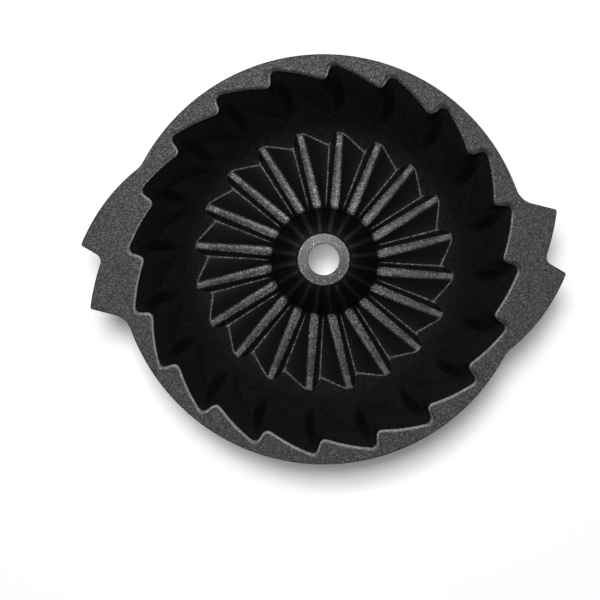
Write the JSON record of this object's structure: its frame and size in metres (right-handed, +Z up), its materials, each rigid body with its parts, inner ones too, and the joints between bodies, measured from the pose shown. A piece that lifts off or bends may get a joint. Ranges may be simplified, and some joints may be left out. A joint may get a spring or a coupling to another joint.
{
  "type": "fluted ring cake pan",
  "caption": "Round cast cake pan with a fluted wall, a pleated floor, a hollow centre tube, a flat rim and notched handles.",
  "frame": {"origin": "on the axis of the tube, at the level of the table that the pan stands on, mouth up", "axes": "+Z up along the tube's axis, +X from the axis to the middle of the right handle, +Y to the back as the picture shows it"},
  "size_m": [0.2546, 0.2158, 0.1],
  "materials": {
    "rim_coat": "graphite non-stick coat with a fine speckle, satin",
    "cavity_coat": "graphite non-stick coat with a fine speckle, darker where it slopes",
    "lip_coat": "graphite non-stick coat, paler on the flat ring"
  },
  "bodies": {
    "root": {"rim_plate": "rim_coat", "left_handle": "rim_coat", "right_handle": "rim_coat", "fluted_wall": "cavity_coat", "pleated_floor": "cavity_coat", "centre_tube": "cavity_coat", "tube_lip": "lip_coat"}
  },
  "joints": []
}
